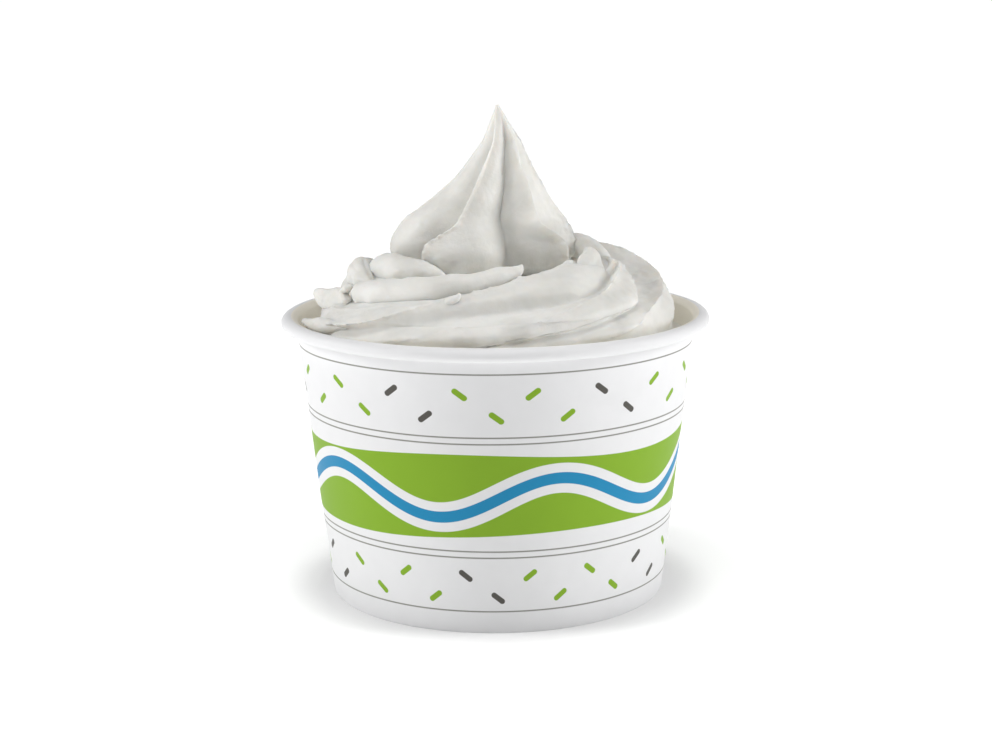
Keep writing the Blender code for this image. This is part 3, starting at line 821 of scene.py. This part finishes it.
@dataclass
class SwirlPeak:
    """The star-shaped column drawn up to a tip, with a skirt that curls under."""

    ridges: tuple[Ridge, ...] = (
        Ridge(-27, -13, 1.00, 0.12, 0.48, 0.68, 0.85),
        Ridge(43, 15, 1.00, 0.06, 0.62, 0.50, 0.20),
        Ridge(98, 0, 0.97, 0.00, 0.58, 0.50, 0.40),
        Ridge(155, 0, 1.00, 0.00, 0.56, 0.50, 0.40),
        Ridge(208, 0, 1.00, 0.00, 0.56, 0.50, 0.40),
        Ridge(268, 0, 1.00, -0.07, 0.50, 0.74, 0.30),
    )
    outline: tuple[tuple[float, float], ...] = (
        (12.0 * MM, 70.0 * MM),
        (16.5 * MM, 72.7 * MM),
        (19.6 * MM, 74.6 * MM),
        (21.0 * MM, 77.2 * MM),
        (20.3 * MM, 80.2 * MM),
        (17.8 * MM, 83.6 * MM),
        (13.4 * MM, 88.0 * MM),
        (8.1 * MM, 94.6 * MM),
        (4.2 * MM, 101.3 * MM),
        (2.0 * MM, 105.7 * MM),
        (0.4 * MM, 109.0 * MM),
    )
    lean: tuple[tuple[float, float], ...] = (
        (-2.1 * MM, 70.0 * MM),
        (-2.1 * MM, 80.0 * MM),
        (-1.0 * MM, 85.7 * MM),
        (0.6 * MM, 92.4 * MM),
        (1.8 * MM, 101.3 * MM),
        (0.9 * MM, 109.0 * MM),
    )
    skirt_z: float = 81.5 * MM
    columns: int = 70                    # columns of faces between two ridges
    rows: int = 200

    def surface(self, line: np.ndarray) -> tuple[np.ndarray, np.ndarray]:
        """The peak's star-shaped face.

        Between two ridges the radius falls to the valley's share of the outline along a V, half a
        sine wave, or a mix of both.  The ridges draw in at the neck and fan out at the skirt.

        Args:
            line: Radius and height down a ridge, one row a ring.

        Returns:
            Points as (ring, column, xyz), and each column's share of the way between its ridges.
        """
        radius, height = line[:, :1], line[:, 1:]
        lean, lean_heights = np.array(self.lean).T
        ridges = np.array(self.ridges + (self.ridges[0]._replace(azimuth=self.ridges[0].azimuth + 360),))
        even = np.arange(self.columns) / self.columns
        share = np.tile((1 - np.cos(math.pi * even)) / 2, len(self.ridges))
        index = np.repeat(np.arange(len(self.ridges)), self.columns)
        turn, spread, reach, neck = (ridges[index, k] * (1 - share) + ridges[index + 1, k] * share for k in range(4))
        valley, skew, crease = (ridges[index, k] for k in (4, 5, 6))
        azimuth = turn + spread * smoothstep(self.skirt_z + 3.5 * MM, self.skirt_z - 1.5 * MM, height)
        vee = np.minimum(share / skew, (1 - share) / (1 - skew))
        wave = np.sin(math.pi * share ** (math.log(0.5) / np.log(skew)))
        fold = crease * vee + (1 - crease) * wave
        tip = line[-1, 1]
        depth = (1 - valley) * smoothstep(tip, tip - 8 * MM, height)
        waist = neck * np.exp(-(((height - self.skirt_z - 3.5 * MM) / (3.5 * MM)) ** 2))
        lip = 0.45 * MM * np.exp(-((np.minimum(share, 1 - share) / 0.03) ** 2)) * smoothstep(0, 8 * MM, radius)
        points = at_azimuth(azimuth, radius * (reach - waist - depth * fold) + lip, height)
        points[..., 0] += np.interp(height, lean_heights, lean)
        return points, share

    def build(self) -> bpy.types.Object:
        """Carry the star along the outline, and uneven it a little.

        Returns:
            The peak.
        """
        line = smooth_line(self.outline, np.linspace(0, len(self.outline) - 1, self.rows + 1))
        rings, share = self.surface(line)
        edge = np.exp(-((np.minimum(share, 1 - share) / 0.04) ** 2))
        room = smoothstep(0, 6 * MM, line[:, :1])
        lift = 0.08 * MM * ripple(rings, 8 * MM, seed=21) + 0.02 * MM * ripple(rings, 1.8 * MM, seed=22)
        lift = (lift + edge * 0.05 * MM * ripple(rings, 1.6 * MM, seed=23)) * room
        rings = rings + outward_normals(rings) * lift[..., None]
        base = (self.lean[0][0], 0, line[0, 1])
        tip = (self.lean[-1][0], 0, line[-1, 1] + 0.2 * MM)
        return capped_piece("yogurt_peak", rings, base, tip)


class Fold(NamedTuple):
    """A torn or doubled fold: a flattened tube along a short path."""

    path: tuple[tuple[float, ...], ...]      # azimuth in degrees; radius, height, half width, half depth in mm
    lean: float          # which way its face looks: 0 outwards, 90 upwards, in degrees
    grooves: int = 0     # grooves along the tube
    groove: float = 0.0  # their depth as a share of the size
    start: float = 0.12  # shares of the length over which the two ends round off
    end: float = 0.12


@dataclass
class TornFolds:
    """The loose ends of the rope: folds, flaps and torn tips that lie on the mound."""

    folds: tuple[Fold, ...] = (
        # The upper turn of the rope, from its blunt left end to the torn tip at the front.
        Fold(((-62, 34.2, 70.0, 3.0, 2.2), (-45, 33.4, 71.3, 3.1, 2.2), (-28, 32.6, 72.5, 3.0, 2.1),
              (-12, 31.4, 73.8, 2.6, 2.0), (0, 29.4, 75.0, 2.2, 1.8), (7, 28.3, 75.8, 1.7, 1.4),
              (10, 27.8, 76.5, 1.2, 1.1), (12.5, 27.2, 77.5, 0.3, 0.4)), 42, 0, 0.0, 0.05, 0.05),
        # The rolled lip of its blunt end.
        Fold(((-60, 36.2, 72.0, 0.7, 1.0), (-63, 36.6, 70.2, 0.8, 1.2), (-60, 36.6, 68.2, 0.8, 1.0)), 10),
        # The lobe behind it, and the long one that leans on the peak's foot.
        Fold(((-118, 26.5, 69.0, 2.6, 2.8), (-98, 28.8, 71.2, 3.5, 3.2), (-82, 30.0, 72.4, 3.8, 3.4),
              (-62, 30.4, 71.8, 3.2, 2.8)), 35, 7, 0.09, 0.30, 0.55),
        Fold(((-92, 25.0, 72.0, 2.4, 2.6), (-74, 25.6, 74.0, 3.5, 3.0), (-58, 24.8, 74.5, 3.6, 2.8),
              (-44, 23.6, 74.2, 3.0, 2.6), (-28, 22.0, 73.6, 1.6, 1.8)), 45, 3, 0.07, 0.25, 0.10),
        # The torn flap at the left edge.
        Fold(((-62, 34.6, 67.4, 2.6, 1.6), (-72, 36.2, 67.9, 2.9, 1.5), (-81, 38.0, 67.4, 2.4, 1.3),
              (-89, 40.6, 68.3, 0.6, 0.7)), 25, 3, 0.16, 0.10, 0.08),
        # The thin end of the long rib, which reaches over to the rim.
        Fold(((-81, 43.0, 62.3, 0.3, 0.4), (-74, 42.4, 62.7, 1.1, 1.0), (-65, 41.8, 63.3, 1.7, 1.5),
              (-54, 41.0, 64.3, 1.5, 1.3), (-44, 40.0, 65.4, 0.5, 0.6)), 40, 0, 0.0, 0.05, 0.10),
        # The upright columns at the right, under the peak.
        Fold(((38, 26.0, 71.2, 2.6, 2.0), (40, 25.2, 74.4, 2.6, 2.0), (43, 23.4, 76.6, 1.6, 1.6)), 30, 2, 0.12, 0.1, 0.2),
        Fold(((47, 27.0, 70.5, 4.4, 2.6), (50, 26.8, 74.2, 4.1, 2.5), (53.5, 25.6, 77.2, 2.8, 2.0),
              (54, 24.8, 79.7, 0.6, 0.8)), 12, 2, 0.20, 0.1, 0.05),
        # The hump at the back, whose lip shows above the columns.
        Fold(((68, 26.6, 72.6, 1.0, 1.4), (80, 24.0, 74.8, 2.0, 2.2), (98, 20.8, 76.8, 2.4, 2.6),
              (120, 20.4, 76.4, 2.6, 2.8), (145, 21.0, 74.6, 1.6, 2.0)), 55, 0, 0.0, 0.08, 0.2),
        # A small torn tip on the long rib.
        Fold(((-16, 37.4, 70.9, 0.8, 0.9), (-12.5, 37.2, 71.8, 0.8, 0.8), (-11.2, 36.8, 72.8, 0.35, 0.4)), 40),
    )
    sides: int = 72
    rows: int = 90

    def rings(self, fold: Fold) -> np.ndarray:
        """A fold's surface: an ellipse carried along the path, with grooves along it.

        The ellipse is square to the path, and its short axis leans from outwards to upwards by the
        fold's lean.  Towards each end it shrinks as a quarter circle does.

        Args:
            fold: The fold.

        Returns:
            Points as (ring, column, xyz).
        """
        share = (1 - np.cos(np.linspace(0.04, math.pi - 0.04, self.rows))) / 2
        azimuth, radius, height, half_across, half_out = smooth_line(fold.path, share * (len(fold.path) - 1)).T
        middle = at_azimuth(azimuth, radius * MM, height * MM)
        along = np.gradient(middle, axis=0)
        along /= np.linalg.norm(along, axis=-1, keepdims=True)
        lean = math.radians(fold.lean)
        facing = at_azimuth(azimuth, np.full_like(radius, math.cos(lean)), np.full_like(height, math.sin(lean)))
        across = np.cross(facing, along)
        across /= np.linalg.norm(across, axis=-1, keepdims=True)
        out = np.cross(along, across)
        opening = 1 - np.clip(share / fold.start, 0, 1)
        closing = 1 - np.clip((1 - share) / fold.end, 0, 1)
        taper = np.sqrt((1 - opening**2) * (1 - closing**2))[:, None]
        angle = np.linspace(0, 2 * math.pi, self.sides, endpoint=False)
        ribbed = 1 - fold.groove * (1 - np.abs(np.cos(fold.grooves * angle / 2)) ** 0.7)
        size = taper * ribbed * MM
        span = (size * np.cos(angle) * half_across[:, None])[..., None] * across[:, None]
        depth = (size * np.sin(angle) * half_out[:, None])[..., None] * out[:, None]
        return middle[:, None] + span - depth

    def build(self) -> list[bpy.types.Object]:
        """Make each fold, unevened like the rest of the yogurt.

        Returns:
            One piece for each fold.
        """
        pieces = []
        for number, fold in enumerate(self.folds, start=1):
            rings = self.rings(fold)
            lift = 0.12 * MM * ripple(rings, 5 * MM, seed=30 + number) + 0.03 * MM * ripple(rings, 1.8 * MM, seed=50)
            rings = rings + outward_normals(rings) * lift[..., None]
            ends = rings[0].mean(axis=0), rings[-1].mean(axis=0)
            pieces.append(capped_piece(f"yogurt_fold_{number}", rings, *ends))
        return pieces


@dataclass
class FrozenYogurt:
    """All the yogurt: the mound in the cup, the peak on it, and the torn folds."""

    cup: PaperCup
    finish: YogurtFinish = YogurtFinish()

    def make(self) -> list[bpy.types.Object]:
        """Build and dress every piece of the yogurt.

        Returns:
            The pieces.
        """
        pieces = [SwirlMound().build(self.cup), SwirlPeak().build(), *TornFolds().build()]
        material = self.finish.make()
        for piece in pieces:
            piece.data.materials.append(material)
            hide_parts("frozen_yogurt")
            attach(piece, "root")
        return pieces


# --- Studio -------------------------------------------------------------------------------------------

@dataclass(frozen=True)
class SoftBox:
    """A square soft light that faces the swirl."""

    name: str
    azimuth: float
    elevation: float
    distance: float
    size: float
    watts: float

    def make(self, target: Vector) -> bpy.types.Object:
        """Hang the light at its azimuth and elevation, turned to the target."""
        lamp = bpy.data.lights.new(self.name, "AREA")
        lamp.energy = self.watts
        lamp.size = self.size
        item = bpy.data.objects.new(self.name, lamp)
        bpy.context.scene.collection.objects.link(item)
        turn, lift = math.radians(self.azimuth), math.radians(self.elevation)
        level = math.cos(lift) * self.distance
        item.location = target + Vector((math.sin(turn) * level, -math.cos(turn) * level, math.sin(lift) * self.distance))
        item.rotation_euler = (target - item.location).to_track_quat("-Z", "Y").to_euler()
        return item


@dataclass
class Studio:
    """Camera, pale floor and soft light."""

    distance: float = 0.4320             # camera in front of the cup's axis
    eye_height: float = 0.13745
    look_down: float = 11.57             # degrees below level
    roll: float = -0.57                  # degrees
    lens: float = 70.65                  # mm, on a 36 mm sensor
    sky: float = 0.13
    lights: tuple[SoftBox, ...] = (
        SoftBox("key_right", 84, 24, 0.8, 0.30, 3.3),
        SoftBox("fill_left", -82, 24, 0.8, 0.30, 3.0),
        SoftBox("top", -20, 80, 0.8, 0.30, 2.5),
    )

    def camera(self) -> None:
        """Stand the camera in front of the cup, looking a little down."""
        lens = bpy.data.cameras.new("camera")
        lens.lens = self.lens
        lens.sensor_width = 36
        lens.clip_start = 0.01
        item = bpy.data.objects.new("camera", lens)
        bpy.context.scene.collection.objects.link(item)
        item.location = (0, -self.distance, self.eye_height)
        down = math.radians(self.look_down)
        ahead = Vector((0, math.cos(down), -math.sin(down))).to_track_quat("-Z", "Y")
        item.rotation_euler = (ahead @ Quaternion((0, 0, 1), math.radians(self.roll))).to_euler()
        bpy.context.scene.camera = item

    def floor(self) -> None:
        """Lay a wide pale floor under the cup. It glows, least in a ring round the cup's foot as a painted contact
        shadow, and brighter far off.
        """
        half = 60.0
        corners = np.array([(-half, -half, 0), (half, -half, 0), (half, half, 0), (-half, half, 0)])
        piece = mesh_piece("floor", corners, [[0, 1, 2, 3]])
        material, tree, shader = new_material("matt_white_paper")
        where = add_node(tree, "TexCoord").outputs["Object"]
        cloud = add_node(tree, "TexNoise", Vector=where, Scale=3.0, Detail=2.0)
        shade = add_node(tree, "MapRange", in0=cloud.outputs["Fac"], in3=0.985, in4=1.0)
        colour = add_node(
            tree, "Mix", {"data_type": "RGBA", "blend_type": "MULTIPLY"},
            in0=1.0, in6=linear("#E4E4E4"), in7=shade.outputs["Result"],
        )
        reach = add_node(tree, "VectorMath", {"operation": "LENGTH"}, in0=where).outputs["Value"]
        # Painted contact shadow: the floor's glow dips to its least in a ring round the cup's foot.
        painted_foot_shadow = add_node(
            tree, "MapRange", {"interpolation_type": "SMOOTHSTEP"}, in0=reach, in1=0.038, in2=0.052, in3=0.16, in4=0.47
        )
        # The glow grows with distance, so the far floor reads white.
        far = add_node(tree, "MapRange", in0=reach, in1=0.05, in2=0.7, in3=0.0, in4=0.45)
        # The floor's whole glow, with the painted contact shadow in it.
        glow_with_painted_shadow = add_node(tree, "Math", {"operation": "ADD"}, in0=painted_foot_shadow.outputs["Result"], in1=far.outputs["Result"])
        tree.links.new(glow_with_painted_shadow.outputs[0], shader.inputs["Emission Strength"])
        tree.links.new(colour.outputs[2], shader.inputs["Base Color"])
        shader.inputs["Roughness"].default_value = 0.8
        shader.inputs["Emission Color"].default_value = (1, 1, 1, 1)
        piece.data.materials.append(material)

    def world(self) -> None:
        """Fill the room with even white light."""
        world = bpy.data.worlds.new("studio_room")
        world.use_nodes = True
        background = world.node_tree.nodes["Background"]
        background.inputs["Color"].default_value = (1, 1, 1, 1)
        background.inputs["Strength"].default_value = self.sky
        bpy.context.scene.world = world
        bpy.context.scene.view_settings.view_transform = "Standard"

    def make(self) -> None:
        """Set up the whole studio."""
        self.camera()
        self.floor()
        self.world()
        for light in self.lights:
            light.make(Vector((0, 0, 0.07)))


def triangle_count(piece: bpy.types.Object) -> int:
    """How many triangles the piece's faces make."""
    return sum(len(face.vertices) - 2 for face in piece.data.polygons)


def main() -> None:
    """Build the cup, its base and the yogurt, and set up the studio."""
    logging.basicConfig(level=logging.INFO, format="%(name)s: %(message)s")
    cup = PaperCup()
    pieces = [cup.make(), CupBase().make(), *FrozenYogurt(cup).make()]
    for piece in pieces:
        log.info("%s: %d triangles", piece.name, triangle_count(piece))
    Studio().make()


if __name__ == "__main__":
    main()
